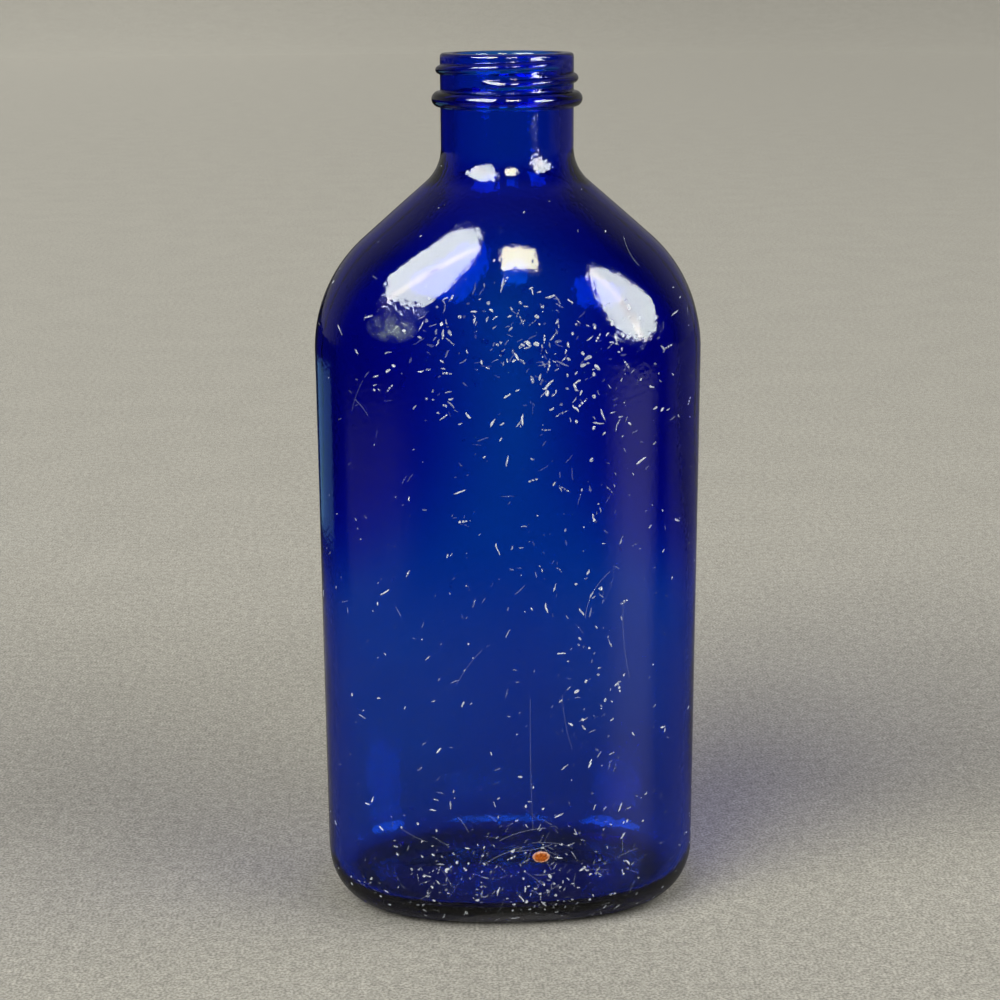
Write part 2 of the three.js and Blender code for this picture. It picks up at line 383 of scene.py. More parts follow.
def side_curve(face):
    """Half widths and heights of the shoulder: a round arc, a straight slope, a hollow at the neck."""
    shoulder_middle = face.half_width - face.shoulder
    points = arc(shoulder_middle, SPRING_HEIGHT, face.shoulder, ARC_ROWS, 0.0, SHOULDER_TURN)
    arc_end, arc_top = points[-1]
    fillet_start = face.neck + face.fillet * (1 - math.cos(SHOULDER_TURN))
    inward = fillet_start - arc_end
    upward = -inward * math.tan(SHOULDER_SLOPE)
    points += [(arc_end + inward * share, arc_top + upward * share) for share in spread(SLOPE_ROWS)[1:-1]]
    foot = arc_top + upward + face.fillet * math.sin(SHOULDER_TURN)
    hollow_middle = face.neck + face.fillet
    return points + arc(hollow_middle, foot, face.fillet, FILLET_ROWS, math.pi + SHOULDER_TURN, math.pi)


def body_rings(face, outside):
    """Rings from the floor of a face up to the foot of its neck."""
    heel_turns = spread(HEEL_ROWS, 0.0, QUARTER)
    heights = [face.floor + face.heel_rise * (1 - math.cos(turn)) for turn in heel_turns]
    heights += spread(SIDE_ROWS, face.floor + face.heel_rise, SPRING_HEIGHT)[1:-1]
    curve = side_curve(face)
    foot = curve[-1][1]
    rings = [lower_ring(face, height, outside) for height in heights]
    return rings + [upper_ring(face, half_width, height, foot, outside) for half_width, height in curve]


outer_rings = body_rings(OUTSIDE, 1.0)
inner_rings = body_rings(INSIDE, 0.0)
NECK_FOOT = outer_rings[-1].height
BEAD_MIDDLE = LIP_HEIGHT - FINISH_HEIGHT - BEAD_HEIGHT / 2
print("neck starts at", round(NECK_FOOT / MM, 2), "mm, its bead is at", round(BEAD_MIDDLE / MM, 2), "mm")


# %% The underside, the neck with its bead, and the lip
BASE_ROWS, BEARING_SHARES = 12, (0.35, 0.7)
NECK_ROWS, HOLLOW_ROWS, BEAD_ROWS, FINISH_ROWS = 20, 5, 30, 56
LIP_ROWS, LAND_ROWS, BORE_ROWS = 8, 4, 24


def neck_ring(radius, height, outside, finish):
    return Ring(radius, radius, 2.0, height, outside, finish)


def underside_rings():
    """The shallow dome under the base, and the flat ring that the bottle stands on."""
    bearing = outer_rings[0]
    rings = []
    for share in spread(BASE_ROWS):
        half_width = (bearing.half_width - BEARING_WIDTH) * share
        half_depth = (bearing.half_depth - BEARING_WIDTH) * share
        rings.append(Ring(half_width, half_depth, OVAL_EXPONENT, PUSH_UP * (1 - share ** 2), 1.0, 0.0))
    for share in BEARING_SHARES:
        half_width = bearing.half_width - BEARING_WIDTH * (1 - share)
        half_depth = bearing.half_depth - BEARING_WIDTH * (1 - share)
        rings.append(Ring(half_width, half_depth, OVAL_EXPONENT, 0.0, 1.0, 0.0))
    return rings


def neck_rings():
    """The neck up to the lip: plain wall, half-round bead, and the wall that carries the thread."""
    bead_radius = BEAD_HEIGHT / 2
    hollow = BEAD_DEPTH - bead_radius
    reach = bead_radius + hollow
    middle = NECK_RADIUS + hollow
    points = [(NECK_RADIUS, height) for height in spread(NECK_ROWS, NECK_FOOT, BEAD_MIDDLE - reach)[1:]]
    points += arc(middle, BEAD_MIDDLE - reach, hollow, HOLLOW_ROWS, math.pi, QUARTER)[1:]
    points += arc(middle, BEAD_MIDDLE, bead_radius, BEAD_ROWS, -QUARTER, QUARTER)[1:]
    points += arc(middle, BEAD_MIDDLE + reach, hollow, HOLLOW_ROWS, -QUARTER, -math.pi)[1:]
    wall_heights = spread(FINISH_ROWS, BEAD_MIDDLE + reach, LIP_HEIGHT - LIP_RADIUS)[1:]
    points += [(NECK_RADIUS, height) for height in wall_heights]
    return [neck_ring(radius, height, 1.0, 1.0) for radius, height in points]


def lip_rings():
    """The flat lip, round on both edges, and the bore down to where the inside widens."""
    bore = NECK_RADIUS - WALL
    round_height = LIP_HEIGHT - LIP_RADIUS
    land = spread(LAND_ROWS, NECK_RADIUS - LIP_RADIUS, bore + LIP_RADIUS)[1:-1]
    outer_edge = arc(NECK_RADIUS - LIP_RADIUS, round_height, LIP_RADIUS, LIP_ROWS, 0.0, QUARTER)[1:]
    outer_edge += [(radius, LIP_HEIGHT) for radius in land]
    inner_edge = arc(bore + LIP_RADIUS, round_height, LIP_RADIUS, LIP_ROWS, QUARTER, math.pi)
    bore_heights = spread(BORE_ROWS, round_height, inner_rings[-1].height)[1:-1]
    inner_edge += [(bore, height) for height in bore_heights]
    return ([neck_ring(*point, 1.0, 0.0) for point in outer_edge]
            + [neck_ring(*point, 0.0, 0.0) for point in inner_edge])


def floor_rings():
    """The inside floor, from the foot of the inside wall to its middle."""
    edge = inner_rings[0]
    return [edge._replace(half_width=edge.half_width * share, half_depth=edge.half_depth * share)
            for share in spread(BASE_ROWS, 1.0, 0.0)[1:]]


rings = underside_rings() + outer_rings + neck_rings() + lip_rings() + inner_rings[::-1] + floor_rings()
print("the outline has", len(rings), "rings, from the underside over the lip to the floor inside")

# %% The outline as a mesh of points that carry their ring's numbers
def new_mesh(name, vertices, edges, faces):
    mesh = bpy.data.meshes.new(name)
    mesh.from_pydata(vertices, edges, faces)
    return mesh


outline = new_mesh(
    "bottle_outline",
    [(ring.half_width, 0.0, ring.height) for ring in rings],
    [(index, index + 1) for index in range(len(rings) - 1)],
    [],
)
for field in ("half_depth", "exponent", "outside", "finish"):
    column = outline.attributes.new(field, "FLOAT", "POINT")
    column.data.foreach_set("value", [getattr(ring, field) for ring in rings])
print("outline runs", round(sum(
    math.dist((a.half_width, a.height), (b.half_width, b.height)) for a, b in zip(rings, rings[1:])
) / MM), "mm")

# %% [markdown]
# ## Lofting the glass
# Subdivision would do for the body, but the thread climbs, so its ridge crosses the rings. A
# Geometry Nodes loft follows the rule instead: a grid whose rows are rings and whose columns are
# angles is bent to the ovals. The same tree raises the thread and the two mould seams, and makes
# the inside wall slightly uneven, because blown glass is true only where it touched the mould.

# %% The loft tree
THREAD_DEPTH = 1.2 * MM
THREAD_WIDTH = 2.4 * MM
THREAD_PITCH = 4.233 * MM
THREAD_DROP = 2.5 * MM
THREAD_TURNS = 445 / 360
THREAD_FADE = 32 / 360
THREAD_TOP_ANGLE = math.radians(-33)
THREAD_ROUNDING = 0.6
SIDE_CROWDING = 0.4
INSIDE_WAVES, OUTSIDE_WAVES = 34.0, 21.0
WAVES_START = (2 * MM, 18 * MM)
WAVES_END = (NECK_FOOT, NECK_FOOT - 20 * MM)
NECK_WAVES = 0.12
SEAM_START = (1 * MM, 8 * MM)
SEAM_WIDTH = 0.85 * MM
CLOSING_DISTANCE = 0.002 * MM
COLUMNS = 216.0

loft = new_shape_tree("oval_loft", [
    "Columns", "Thread Depth", "Thread Width", "Thread Pitch", "Thread Top", "Seam Height", "Seam Width",
    "Inside Unevenness", "Outside Unevenness",
])
start = loft["Geometry"]


def at_row(value, kind="FLOAT"):
    """What the outline's point of this grid point's row has as a value."""
    return start.node("GeometryNodeSampleIndex", {"data_type": kind, "domain": "POINT"}, {
        "Geometry": start, "Value": value, "Index": row,
    })


def swell(value, power):
    """A power that keeps the sign, which turns a circle into a squarer oval."""
    return value.math("SIGN") * value.math("ABSOLUTE") ** power


row_count = start.node("GeometryNodeAttributeDomainSize", {"component": "MESH"}, {"Geometry": start})
column_count = loft["Columns"] + 1.0
grid = start.node("GeometryNodeMeshGrid", inputs={
    "Size X": 1.0, "Size Y": 1.0, "Vertices X": row_count, "Vertices Y": column_count,
})
index = start.node("GeometryNodeInputIndex")
row = ((index + 0.5) / column_count).math("FLOOR")
column = index - row * column_count
even_angle = column / loft["Columns"] * (2 * math.pi)
angle = even_angle - SIDE_CROWDING * (even_angle * 2.0).math("SINE")
cosine = angle.math("COSINE")
sine = angle.math("SINE")

place_on_outline = at_row(start.node("GeometryNodeInputPosition"), "FLOAT_VECTOR")
half_width, height = place_on_outline.axis("X"), place_on_outline.axis("Z")
half_depth = at_row(kept(start, "half_depth"))
oval_power = 2.0 / at_row(kept(start, "exponent"))
outside = at_row(kept(start, "outside"))
finish = at_row(kept(start, "finish"))

# %% The thread, the seams and the uneven wall, as a distance to add to each ring
turn = ((THREAD_TOP_ANGLE - angle) / (2 * math.pi)).math("FRACT")
ridges = []
for lap in (0.0, 1.0):
    turns_below = turn + lap
    away = (height - (loft["Thread Top"] - turns_below * loft["Thread Pitch"])).math("ABSOLUTE")
    across = away / loft["Thread Width"] * 2.0
    crown = (1.0 - across * across).math("MAXIMUM", 0.0) ** THREAD_ROUNDING
    rise = turns_below.between(0.0, THREAD_FADE, THREAD_TURNS - THREAD_FADE, THREAD_TURNS)
    ridges.append(crown * rise)
thread = ridges[0].math("MAXIMUM", ridges[1]) * finish * loft["Thread Depth"]

plain_place = start.node("ShaderNodeCombineXYZ", inputs={
    "X": half_width * swell(cosine, oval_power), "Y": half_depth * swell(sine, oval_power), "Z": height,
})
above_base = height.step(*WAVES_START)
below_neck = height.step(*WAVES_END)
inside_share = (1.0 - outside) * above_base * (NECK_WAVES + (1 - NECK_WAVES) * below_neck)
inside_wave = (plain_place.noise(INSIDE_WAVES, 1.0) - 0.5) * inside_share * loft["Inside Unevenness"]
outside_share = outside * above_base * below_neck
outside_wave = (plain_place.noise(OUTSIDE_WAVES, 1.0) - 0.5) * outside_share * loft["Outside Unevenness"]

across_seam = plain_place.axis("Y") / loft["Seam Width"]
seam_line = (1.0 - across_seam * across_seam).math("MAXIMUM", 0.0) ** 0.5
seam = seam_line * outside * height.step(*SEAM_START) * below_neck
swelling = thread + inside_wave + outside_wave + seam * loft["Seam Height"]

# %% Bend the grid to the rings and close it
bent = start.node("ShaderNodeCombineXYZ", inputs={
    "X": (half_width + swelling) * swell(cosine, oval_power),
    "Y": (half_depth + swelling) * swell(sine, oval_power),
    "Z": height,
})
marked = keep(grid, "outside", outside)
shaped = grid.node("GeometryNodeSetPosition", inputs={"Geometry": marked, "Position": bent})
closed = grid.node("GeometryNodeMergeByDistance", inputs={
    "Geometry": shaped, "Distance": CLOSING_DISTANCE,
})
outward = grid.node("GeometryNodeFlipFaces", inputs={"Mesh": closed})
smooth = grid.node("GeometryNodeSetShadeSmooth", inputs={"Geometry": outward})
loft_tree = end_shape_tree(smooth, loft["Material"])
print("loft tree:", len(loft_tree.nodes), "nodes")

# %% [markdown]
# ## Cobalt glass
# Cobalt oxide in the melt swallows red and most of the green, and it does so along the whole path
# of the light. A blue surface colour would look like paint, so the surface is clear glass and the
# colour is in the volume: thin walls are bright blue, and the edges, where light runs through far
# more glass, are nearly black. A fine bump gives the slight orange peel that frays the edges of
# the highlights, and it is coarser at the neck's foot. Lamps shine straight through the walls,
# except at the heel, whose thick glass bends their light away and leaves a dark line where the
# bottle stands.

# %% Cobalt glass
GLASS_TINT = (0.0, 0.616, 0.952, 1.0)
GLASS_DENSITY = 1300.0
GLASS_INDEX = 1.51
PEEL_SCALE, RIPPLE_SCALE, SMUDGE_SCALE = 900.0, 260.0, 45.0
PEEL_DEPTH = 0.022 * MM
SMUDGE_EDGE = (0.4, 0.75)
RIPPLE_SHARE = 0.6
FOOT_HEIGHTS = (190 * MM, 200 * MM, 206 * MM, 214 * MM)
FOOT_EXTRA_PEEL = 2.0
BROAD_FACE = (9 * MM, 13 * MM)
GLASS_ROUGHNESS = (0.06, 0.11)
HEEL_REACH = (0.42, 0.58)
HEEL_HEIGHTS = (12 * MM, 1 * MM)
WHITE = (1.0, 1.0, 1.0, 1.0)


def new_material(name):
    """A material with an empty tree; gives it and a wire to start from."""
    material = bpy.data.materials.new(name)
    material.use_nodes = True
    material.node_tree.nodes.clear()
    return material, Wire(material.node_tree)


def end_material(material, **ends):
    """Link what a material ends in, such as its Surface."""
    Wire(material.node_tree).node("ShaderNodeOutputMaterial", inputs=ends)
    return material


def plain_surface(material, sockets):
    """End a material in one Principled shader with these sockets."""
    surface = Wire(material.node_tree).node("ShaderNodeBsdfPrincipled", inputs=sockets)
    return end_material(material, Surface=surface)


def object_place(at):
    """The place on the object itself, in metres, which moves with the piece."""
    return at.node("ShaderNodeTexCoord", output="Object")


def cobalt_glass_material():
    material, at = new_material("cobalt_glass")
    place = object_place(at)
    height = place.axis("Z")
    broad_face = place.axis("Y").math("ABSOLUTE").step(*BROAD_FACE)
    neck_foot = height.between(*FOOT_HEIGHTS) * broad_face
    relief = place.noise(PEEL_SCALE, 0.0) + place.noise(RIPPLE_SCALE, 1.0) * RIPPLE_SHARE
    surface = at.node("ShaderNodeBsdfPrincipled", inputs={
        "Base Color": WHITE,
        "Roughness": place.noise(SMUDGE_SCALE, 4.0).step(*SMUDGE_EDGE, *GLASS_ROUGHNESS),
        "Normal": (relief * (1.0 + FOOT_EXTRA_PEEL * neck_foot)).bump(PEEL_DEPTH),
        "IOR": GLASS_INDEX,
        "Transmission Weight": 1.0,
    })
    shadow_ray = at.node("ShaderNodeLightPath", output="Is Shadow Ray")
    clear = at.node("ShaderNodeBsdfTransparent")
    share_across, share_deep = place.axis("X") / HALF_WIDTH, place.axis("Y") / HALF_DEPTH
    heel = (share_across * share_across + share_deep * share_deep).step(*HEEL_REACH)
    lets_through = 1.0 - heel * height.step(*HEEL_HEIGHTS)
    mixed = (shadow_ray * lets_through).mix_shaders(surface, clear)
    volume = at.node("ShaderNodeVolumeAbsorption", inputs={"Color": GLASS_TINT, "Density": GLASS_DENSITY})
    return end_material(material, Surface=mixed, Volume=volume)


print("glass bends light by an index of", GLASS_INDEX)

# %% Grow the bottle and weigh its glass
import bmesh

INSIDE_UNEVENNESS = 0.7 * MM
OUTSIDE_UNEVENNESS = 0.1 * MM
MILLILITRES = 1e6

bottle = grow("bottle", loft_tree, outline, cobalt_glass_material(), {
    "Columns": COLUMNS,
    "Thread Depth": THREAD_DEPTH,
    "Thread Width": THREAD_WIDTH,
    "Thread Pitch": THREAD_PITCH,
    "Thread Top": LIP_HEIGHT - THREAD_DROP,
    "Seam Height": SEAM_HEIGHT,
    "Seam Width": SEAM_WIDTH,
    "Inside Unevenness": INSIDE_UNEVENNESS,
    "Outside Unevenness": OUTSIDE_UNEVENNESS,
})
check = bmesh.new()
check.from_mesh(bottle.data)
open_edges = sum(1 for edge in check.edges if not edge.is_manifold)
glass_volume = check.calc_volume(signed=True)
check.free()
print("open edges:", open_edges, " glass:", round(glass_volume * MILLILITRES, 1), "ml")

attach(bottle, "root")
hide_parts("glass_bottle")

# %% [markdown]
# ## Scuffs
# Years of knocking against other bottles leave small bruises: bright chips a millimetre or two
# long, where the surface has crazed. They crowd on the shoulder and round the base, which is
# where bottles touch. Bump can't make them bright, so each is a thin flake that is half sunk in
# the glass, scattered by a tree that works in patches: where a patch is, how wide it is, and how
# many marks a square centimetre has.

# %% Bruised glass
CHATTER_PITCH = 0.9 * MM
BRUISE_COLOUR = (0.89, 0.94, 1.0, 1.0)
BRUISE_ROUGHNESS = 0.55
SPLINTERS_ALONG, SPLINTERS_ACROSS, SPLINTERS_APART = 900.0, 2.6, 90.0
SPLINTER_EDGE = (0.36, 0.5)
SPLINTER_CLEAREST = 0.12
BAR_EDGE = (-0.8, 0.2)
RIM_EDGE = (1.0, 0.85)


def bruised_glass_material():
    """Crazed glass; each mark carries its strength, which is how much of the blue it hides."""
    material, at = new_material("bruised_glass")

    def of_mark(attribute):
        return at.node("ShaderNodeAttribute", {"attribute_name": attribute}, output="Fac")

    along = of_mark("share") * of_mark("length")
    own_place = at.node("ShaderNodeCombineXYZ", inputs={
        "X": along * SPLINTERS_ALONG,
        "Y": of_mark("side") * SPLINTERS_ACROSS,
        "Z": of_mark("strength") * SPLINTERS_APART,
    })
    splinters = own_place.noise(1.0, 2.0).step(*SPLINTER_EDGE, SPLINTER_CLEAREST, 1.0)
    bars = (along * (2 * math.pi / CHATTER_PITCH)).math("COSINE").step(*BAR_EDGE)
    broken = 1.0 - of_mark("chatter") * (1.0 - bars)
    return plain_surface(material, {
        "Base Color": BRUISE_COLOUR,
        "Roughness": BRUISE_ROUGHNESS,
        "Alpha": of_mark("strength") * splinters * broken * of_mark("reach").step(*RIM_EDGE),
    })


bruise = bruised_glass_material()
print("a bruise that chattered has a bar every", CHATTER_PITCH / MM, "mm")

# %% The scatter tree
CLUMP_SCALE = 130.0
CLUMP_EDGE, CLUMP_CROWDING = (0.35, 0.65), (0.35, 1.65)
SIDE_EDGE = (0.0, 4 * MM)

scuff = new_shape_tree("scuff_patch", [
    "Across", "Up", "Spread Across", "Spread Up", "Marks per Square Metre", "Side",
    "Length", "Width", "Thickness", "Lean", "Seed",
])
glass = scuff["Geometry"]


def draw(number):
    """A random share for each mark; the number tells one draw from another."""
    return glass.node("FunctionNodeRandomValue", {"data_type": "FLOAT"}, {
        "Min": 0.0, "Max": 1.0, "Seed": scuff["Seed"] + float(number),
    })


where = glass.node("GeometryNodeInputPosition")
sideways = (where.axis("X") - scuff["Across"]) / scuff["Spread Across"]
upward = (where.axis("Z") - scuff["Up"]) / scuff["Spread Up"]
bell = (-0.5 * (sideways * sideways + upward * upward)).math("EXPONENT")
clumps = where.noise(CLUMP_SCALE, 1.0).step(*CLUMP_EDGE, *CLUMP_CROWDING)
is_outside = kept(glass, "outside")
faces_side = (where.axis("Y") * scuff["Side"]).step(*SIDE_EDGE)
crowd = bell * clumps * is_outside * faces_side
places = glass.node(
    "GeometryNodeDistributePointsOnFaces",
    {"distribute_method": "RANDOM"},
    {"Mesh": glass, "Density": crowd * scuff["Marks per Square Metre"], "Seed": scuff["Seed"]},
)
lie = Wire(places.tree, places.socket.node.outputs["Rotation"])

# %% One flake for each place, ragged and half sunk
MOSTLY_SMALL = 2.5
FAINTEST, BRIGHTER = 0.05, 1.1
SHORTEST, LONGER = 0.45, 1.2
NARROWEST, WIDER, WIDER_IF_BRIGHT = 0.5, 0.5, 0.7
# Seven marks in ten lie any way, and the rest lean nearly alike.
LEANS = (0.68, 0.72, 1.0, 0.35)
CHATTER_DRAWN = (0.7, 0.72)
CHATTER_LENGTH = (2.0 * MM, 2.4 * MM)
SHIVERS = ((420.0, 0.9 * MM), (2000.0, 0.6 * MM))
HALF = (0.5, 0.5, 0.5)

ball = glass.node("GeometryNodeMeshUVSphere", inputs={"Segments": 12, "Rings": 4, "Radius": 0.5})
x, y = where.axis("X"), where.axis("Y")
flake = keep(ball, "rise", where.axis("Z"))
flake = keep(flake, "share", x)
flake = keep(flake, "side", y)
flake = keep(flake, "reach", 2.0 * (x * x + y * y) ** 0.5)
bright = (FAINTEST + BRIGHTER * draw(5) ** MOSTLY_SMALL).math("MINIMUM", 1.0)
length = scuff["Length"] * (SHORTEST + LONGER * draw(1) ** MOSTLY_SMALL)
width = scuff["Width"] * (NARROWEST + WIDER * draw(2) + WIDER_IF_BRIGHT * bright)
lean = scuff["Lean"] + math.pi * (draw(3) - 0.5) * draw(4).step(*LEANS)
turned = glass.node("FunctionNodeRotateRotation", {"rotation_space": "LOCAL"}, {
    "Rotation": lie,
    "Rotate By": glass.node("FunctionNodeEulerToRotation", inputs={
        "Euler": glass.node("ShaderNodeCombineXYZ", inputs={"Z": lean}),
    }),
})
size = glass.node("ShaderNodeCombineXYZ", inputs={"X": length, "Y": width, "Z": scuff["Thickness"]})
flakes = glass.node("GeometryNodeInstanceOnPoints", inputs={
    "Points": places, "Instance": flake, "Rotation": turned, "Scale": size,
})
flakes = keep(flakes, "strength", bright, "INSTANCE")
flakes = keep(flakes, "length", length, "INSTANCE")
chattered = draw(6).step(*CHATTER_DRAWN) * length.step(*CHATTER_LENGTH)
flakes = keep(flakes, "chatter", chattered, "INSTANCE")
real_flakes = glass.node("GeometryNodeRealizeInstances", inputs={"Geometry": flakes})

moved = where
for scale, reach in SHIVERS:
    shiver = glass.node("ShaderNodeTexNoise", inputs={"Scale": scale, "Detail": 1.0}, output="Color")
    moved = moved.vector("ADD", shiver.vector("SUBTRACT", HALF).vector("SCALE", reach))
nearest = glass.node("GeometryNodeProximity", inputs={0: glass, "Sample Position": moved})
straight_out = glass.node("GeometryNodeSampleNearestSurface", {"data_type": "FLOAT_VECTOR"}, {
    "Mesh": glass, "Value": glass.node("GeometryNodeInputNormal"), "Sample Position": moved,
})
lifted = straight_out.vector("SCALE", kept(glass, "rise") * scuff["Thickness"])
ragged = glass.node("GeometryNodeSetPosition", inputs={
    "Geometry": real_flakes, "Position": nearest.vector("ADD", lifted),
})
scuff_tree = end_shape_tree(ragged, scuff["Material"])
print("scatter tree:", len(scuff_tree.nodes), "nodes")

# %% Patches of scuffs, front and back
# Middle, spread, length and width are in mm.
Patch = namedtuple("Patch", "name across up spread_across spread_up per_cm2 side length width")
FRONT, BACK = -1.0, 1.0
PER_CM2 = 1e4
MARK_THICKNESS = 0.1 * MM
MARK_LEAN = math.radians(45)
SEED_STEP = 10.0
PATCHES = [
    Patch("ticks_shoulder", 2, 165, 19, 7, 16, FRONT, 2.5, 0.36),
    Patch("chips_shoulder", 4, 166, 17, 6, 6, FRONT, 1.6, 0.75),
    Patch("ticks_chest", 20, 154, 11, 9, 11, FRONT, 2.4, 0.36),
    Patch("chips_chest", 21, 157, 10, 8, 5, FRONT, 1.6, 0.75),
    Patch("ticks_front", 6, 128, 22, 24, 3.2, FRONT, 2.5, 0.34),
    Patch("ticks_right", 22, 72, 7, 34, 3.6, FRONT, 2.0, 0.36),
    Patch("chips_right", 23, 66, 5, 28, 2.6, FRONT, 1.5, 0.72),
    Patch("ticks_low", 4, 62, 26, 30, 1.2, FRONT, 2.0, 0.32),
    Patch("ticks_base", 0, 17, 26, 11, 15, FRONT, 1.8, 0.34),
    Patch("chips_base", 0, 13, 24, 8, 10, FRONT, 1.1, 0.62),
    Patch("ticks_left", -33, 146, 8, 9, 3.6, FRONT, 1.8, 0.34),
    Patch("specks_front", 4, 110, 34, 60, 2.0, FRONT, 0.8, 0.28),
    Patch("ticks_back", -4, 162, 24, 12, 7, BACK, 2.3, 0.36),
    Patch("chips_back", 6, 160, 20, 10, 3.6, BACK, 1.5, 0.72),
    Patch("ticks_back_base", 0, 13, 28, 8, 4, BACK, 1.7, 0.36),
    Patch("specks_back", 0, 100, 34, 60, 1.6, BACK, 0.8, 0.28),
    Patch("ticks_chest_left", -20, 152, 6, 6, 9, FRONT, 2.0, 0.38),
    Patch("chips_shoulder_left", -16, 169, 8, 5, 6, FRONT, 1.5, 0.7),
]
for number, patch in enumerate(PATCHES):
    marks = grow(patch.name, scuff_tree, bottle.data, bruise, {
        "Across": patch.across * MM,
        "Up": patch.up * MM,
        "Spread Across": patch.spread_across * MM,
        "Spread Up": patch.spread_up * MM,
        "Marks per Square Metre": patch.per_cm2 * PER_CM2,
        "Side": patch.side,
        "Length": patch.length * MM,
        "Width": patch.width * MM,
        "Thickness": MARK_THICKNESS,
        "Lean": MARK_LEAN,
        "Seed": SEED_STEP * (number + 1),
    })
    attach(marks, "root")

# %% [markdown]
# ## Hairline scratches
# Sharp grit draws long fine lines. Each is a thread-thin tube that hugs the glass: a polyline is
# laid out in front of the bottle, a Raycast node throws its points straight back on to the
# surface, and Curve to Mesh gives the line its thickness.

# %% Hairline tree
IN_FRONT = -0.06
BACKWARD = (0.0, 1.0, 0.0)
RAY_LENGTH = 0.2
HAIR_THICKNESS = 0.05 * MM

hair = new_shape_tree("hairlines", ["Thickness"])
lines = hair["Geometry"]
bottle_shape = lines.node("GeometryNodeObjectInfo", inputs={"Object": bottle}, output="Geometry")
thrown = lines.node("GeometryNodeRaycast", inputs={
    "Target Geometry": bottle_shape, "Ray Direction": BACKWARD, "Ray Length": RAY_LENGTH,
}, output="Hit Position")
laid = lines.node("GeometryNodeSetPosition", inputs={"Geometry": lines, "Position": thrown})
path = lines.node("GeometryNodeMeshToCurve", inputs={"Mesh": laid})
section = lines.node("GeometryNodeCurvePrimitiveCircle", inputs={
    "Resolution": 4, "Radius": hair["Thickness"],
})
tubes = lines.node("GeometryNodeCurveToMesh", inputs={
    "Curve": path, "Profile Curve": section, "Fill Caps": True,
})
hair_tree = end_shape_tree(tubes, hair["Material"])
print("hairline tree:", len(hair_tree.nodes), "nodes")

# %% Lay out the hairlines
import random

FEWEST_STEPS = 6


def hairline(across, up, lean, length, bow):
    """Points of one line in front of the bottle, about its middle."""
    cosine, sine = math.cos(math.radians(lean)), math.sin(math.radians(lean))
    points = []
    for share in spread(max(FEWEST_STEPS, int(length)), -0.5, 0.5):
        along = share * length
        aside = bow * (1 - 4 * share ** 2)
        place_across = across + along * cosine - aside * sine
        place_up = up + along * sine + aside * cosine
        points.append((place_across * MM, IN_FRONT, place_up * MM))
    return points


# Middle across and up in mm, lean in degrees, length and bow in mm, and strength.
HAIRLINES = [
    (4.5, 50, 91, 38, 0.3, 0.11), (22, 97, 62, 14, 1.5, 0.2), (25, 100, 75, 10, -0.8, 0.16),
    (31, 186, 118, 8, 0.6, 0.2), (-12, 78, 55, 12, 0.4, 0.12), (-40, 150, 70, 9, 0.3, 0.12),
    (14, 62, 100, 16, 0.5, 0.1), (30, 84, 95, 22, 0.8, 0.12), (-30, 173, 62, 8, 0.4, 0.2),
    (-39, 147, -50, 5, 0.2, 0.2), (2, 30, 15, 13, 0.8, 0.22), (4, 26, 8, 12, -0.6, 0.22),
    (-3, 24, 24, 12, 0.5, 0.2), (1, 29, 68, 9, 0.4, 0.16), (9, 27, -6, 9, 0.4, 0.18),
    (-14, 33, -58, 5, 0.2, 0.2), (4, 36, -42, 7, 0.3, 0.16), (5, 17, -40, 6, 0.2, 0.2),
]
# Short fine lines round the base, with the same numbers drawn.
FINE_LINES, HAIR_SEED = 34, 41
draw_lines = random.Random(HAIR_SEED)
for _ in range(FINE_LINES):
    HAIRLINES.append((
        draw_lines.gauss(0, 17), abs(draw_lines.gauss(17, 7)) + 3, draw_lines.gauss(15, 50),
        2 + 6 * draw_lines.random() ** 2, draw_lines.uniform(-0.3, 0.3), draw_lines.uniform(0.08, 0.26),
    ))
vertices, edges, strengths = [], [], []
for *numbers, strength in HAIRLINES:
    points = hairline(*numbers)
    edges += [(len(vertices) + i, len(vertices) + i + 1) for i in range(len(points) - 1)]
    vertices += points
    strengths += [strength] * len(points)
layout = new_mesh("hairline_layout", vertices, edges, [])
layout.attributes.new("strength", "FLOAT", "POINT").data.foreach_set("value", strengths)
hairlines = grow("hairline_scratches", hair_tree, layout, bruise, {"Thickness": HAIR_THICKNESS})
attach(hairlines, "root")

# %% [markdown]
# ## A dull patch
# Under the left highlight the glass has lost its polish in a patch as large as a fingernail. Many
# flakes side by side would show their rims, so this is one skin, much thinner than a hair: rings
# of points are thrown straight back on to the shoulder, and noise in its alpha makes it cloudy
# and lets it fade out.

# %% A closed flake from rings, and how far a place is from its middle
AROUND = 40


def ring_faces(rows, around, first=0):
    """Quads between rings of points that follow each other."""
    faces = []
    for low in range(first, first + (rows - 1) * around, around):
        for i in range(around):
            after = (i + 1) % around
            faces.append((low + i, low + after, low + around + after, low + around + i))
    return faces


def closed_flake(name, vertex, sunk, reaches, raised):
    """A closed mesh from a point below, over rings of a reach and a lift, to a point on top."""
    vertices = [vertex(0.0, 0.0, sunk)]
    for reach, lift in reaches:
        vertices += [vertex(reach, 2 * math.pi * i / AROUND, lift) for i in range(AROUND)]
    vertices.append(vertex(0.0, 0.0, raised))
    last = len(vertices) - 1
    faces = [(0, 1 + i, 1 + (i + 1) % AROUND) for i in range(AROUND)]
    faces += [(a, d, c, b) for a, b, c, d in ring_faces(len(reaches), AROUND, first=1)]
    top = 1 + (len(reaches) - 1) * AROUND
    faces += [(top + i, last, top + (i + 1) % AROUND) for i in range(AROUND)]
    mesh = new_mesh(name, vertices, [], faces)
    mesh.shade_smooth()
    return mesh


def add_dressed(name, mesh, material):
    """A new object of the scene with one material."""
    mesh.materials.append(material)
    return add_object(name, mesh)


